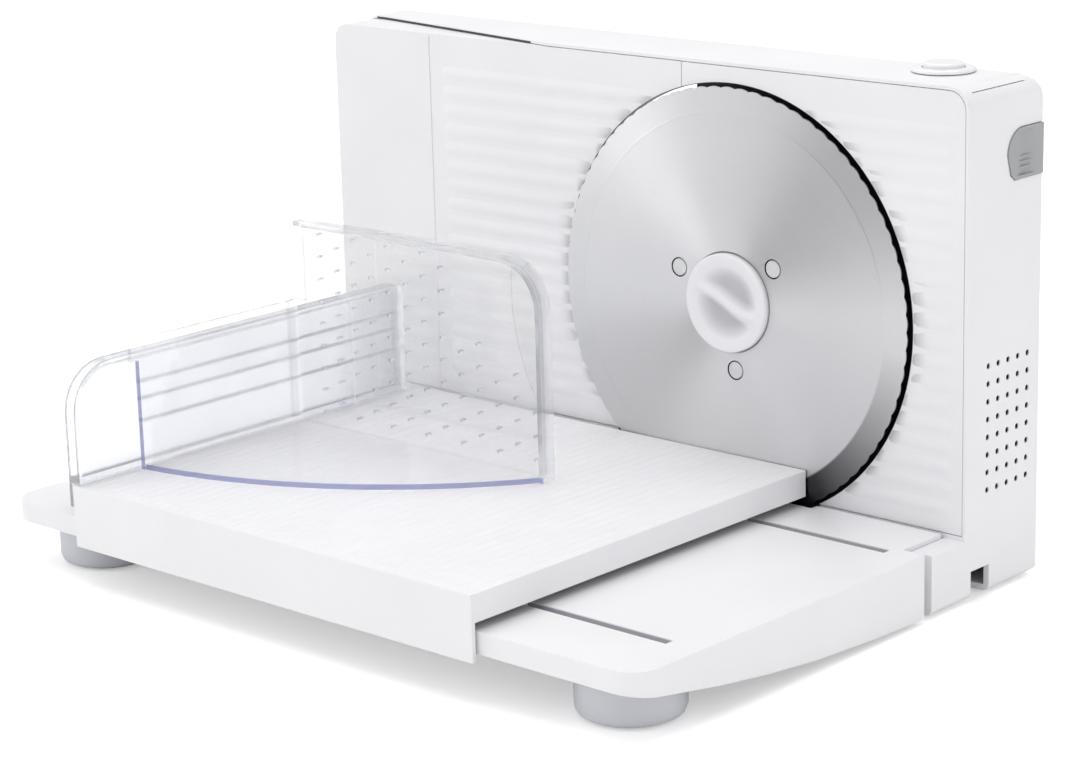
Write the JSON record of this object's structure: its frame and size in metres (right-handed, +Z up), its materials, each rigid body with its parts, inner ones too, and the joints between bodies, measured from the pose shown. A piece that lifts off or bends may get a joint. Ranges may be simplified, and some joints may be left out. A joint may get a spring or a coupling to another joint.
{
  "type": "electric food slicer",
  "caption": "Folding household slicer: serrated round blade in an upright housing, sliding carriage with clear food pusher, adjustable stop plate, worm-driven blade, catch and push button.",
  "frame": {"origin": "on the floor under the centre of the slicer's outline", "axes": "+X to the right along the cut, +Y to the rear, away from the food, +Z up"},
  "size_m": [0.3322, 0.252, 0.2002],
  "materials": {
    "white_abs": "moulded, satin",
    "white_button": "moulded, semi-gloss",
    "grey_abs": "moulded, fine grain",
    "clear_styrene": "clear moulded plastic",
    "stainless_steel": "turned, fine circular brush marks",
    "zinc_plated_steel": "zinc plated",
    "black_nylon": "moulded",
    "white_acetal": "moulded, waxy",
    "brass": "machined",
    "steel_lamination": "dark, pressed",
    "sintered_bronze": "sintered, oiled",
    "grey_rubber": "matt",
    "spring_steel": "drawn wire"
  },
  "bodies": {
    "slicer": {"housing_shell": "white_abs", "rear_cover": "white_abs", "cover_screw_1": "zinc_plated_steel", "cover_screw_2": "zinc_plated_steel", "cover_screw_3": "zinc_plated_steel", "cover_screw_4": "zinc_plated_steel", "fixed_plate": "white_abs", "left_guide_rod": "zinc_plated_steel", "right_guide_rod": "zinc_plated_steel", "knob_scale_ring": "grey_abs", "plate_spring": "spring_steel", "button_bezel": "white_button", "micro_switch": "black_nylon", "button_spring": "spring_steel", "spindle_stud": "zinc_plated_steel", "motor_case": "zinc_plated_steel", "upper_magnet": "steel_lamination", "lower_magnet": "steel_lamination", "motor_end_cap": "black_nylon", "worm_bush": "sintered_bronze", "motor_left_bush": "sintered_bronze", "motor_right_bush": "sintered_bronze", "motor_cradle": "white_abs", "base_plate": "white_abs", "right_hinge_pin": "zinc_plated_steel", "left_hinge_pin": "zinc_plated_steel", "right_foot": "white_abs", "left_foot": "white_abs", "right_foot_pad": "grey_rubber", "left_foot_pad": "grey_rubber", "rear_pad_1": "grey_rubber", "rear_pad_2": "grey_rubber", "rear_pad_3": "grey_rubber", "rear_pad_4": "grey_rubber"},
    "blade": {"blade_disc": "stainless_steel", "blade_rivet_1": "stainless_steel", "blade_rivet_2": "stainless_steel", "blade_rivet_3": "stainless_steel", "blade_gear": "white_acetal"},
    "blade_lock": {"blade_lock": "white_abs"},
    "layshaft": {"drive_pinion": "brass", "layshaft": "zinc_plated_steel", "worm_wheel": "white_acetal"},
    "armature": {"armature_shaft": "zinc_plated_steel", "rotor_core": "steel_lamination", "cooling_fan": "black_nylon"},
    "stop_plate": {"stop_plate": "white_abs", "stop_plate_carrier": "white_abs"},
    "thickness_knob": {"thickness_knob": "white_abs", "thickness_cam": "white_acetal"},
    "power_button": {"power_button": "white_button"},
    "safety_catch": {"safety_catch": "grey_abs"},
    "carriage": {"carriage_plate": "white_abs", "front_runner": "white_acetal", "rear_runner": "white_acetal", "end_wall": "clear_styrene"},
    "food_pusher": {"food_pusher": "clear_styrene"}
  },
  "joints": [
    {"name": "armature_spin", "type": "hinge", "parent": "slicer", "child": "armature", "pos_m": [0.06116, 0.0942, 0.03631], "axis": [1, 0, 0], "continuous": true},
    {"name": "blade_spin", "type": "hinge", "parent": "slicer", "child": "blade", "pos_m": [0.05515, 0.0647, 0.1025], "axis": [0, 1, 0], "continuous": true},
    {"name": "layshaft_spin", "type": "hinge", "parent": "slicer", "child": "layshaft", "pos_m": [0.06116, 0.0642, 0.05972], "axis": [0, 1, 0], "continuous": true},
    {"name": "blade_lock_turn", "type": "hinge", "parent": "blade", "child": "blade_lock", "pos_m": [0.05515, 0.0606, 0.1025], "axis": [0, 1, 0], "range_deg": [0, 60]},
    {"name": "knob_turn", "type": "hinge", "parent": "slicer", "child": "thickness_knob", "pos_m": [-0.10985, 0.1137, 0.1175], "axis": [0, 1, 0], "range_deg": [0, 270]},
    {"name": "stop_plate_slide", "type": "slide", "parent": "slicer", "child": "stop_plate", "axis": [0, 1, 0], "range_m": [0, 0.015], "deforming": ["plate_spring"]},
    {"name": "button_press", "type": "slide", "parent": "slicer", "child": "power_button", "axis": [0, 0, -1], "range_m": [0, 0.003], "stiffness_N_per_m": 500, "springref_m": -0.002, "deforming": ["button_spring"]},
    {"name": "catch_press", "type": "slide", "parent": "slicer", "child": "safety_catch", "axis": [-1, 0, 0], "range_m": [0, 0.003], "stiffness_N_per_m": 400, "springref_m": -0.002},
    {"name": "carriage_slide", "type": "slide", "parent": "slicer", "child": "carriage", "axis": [1, 0, 0], "range_m": [-0.04, 0.06]},
    {"name": "pusher_slide", "type": "slide", "parent": "carriage", "child": "food_pusher", "axis": [0, 1, 0], "range_m": [-0.02, 0.058]}
  ],
  "couplings": [
    {"joint": "blade_spin", "follows": "armature_spin", "ratio": 0.0066667},
    {"joint": "layshaft_spin", "follows": "armature_spin", "ratio": -0.033333},
    {"joint": "knob_turn", "follows": "stop_plate_slide", "rad_per_m": 314.16}
  ]
}
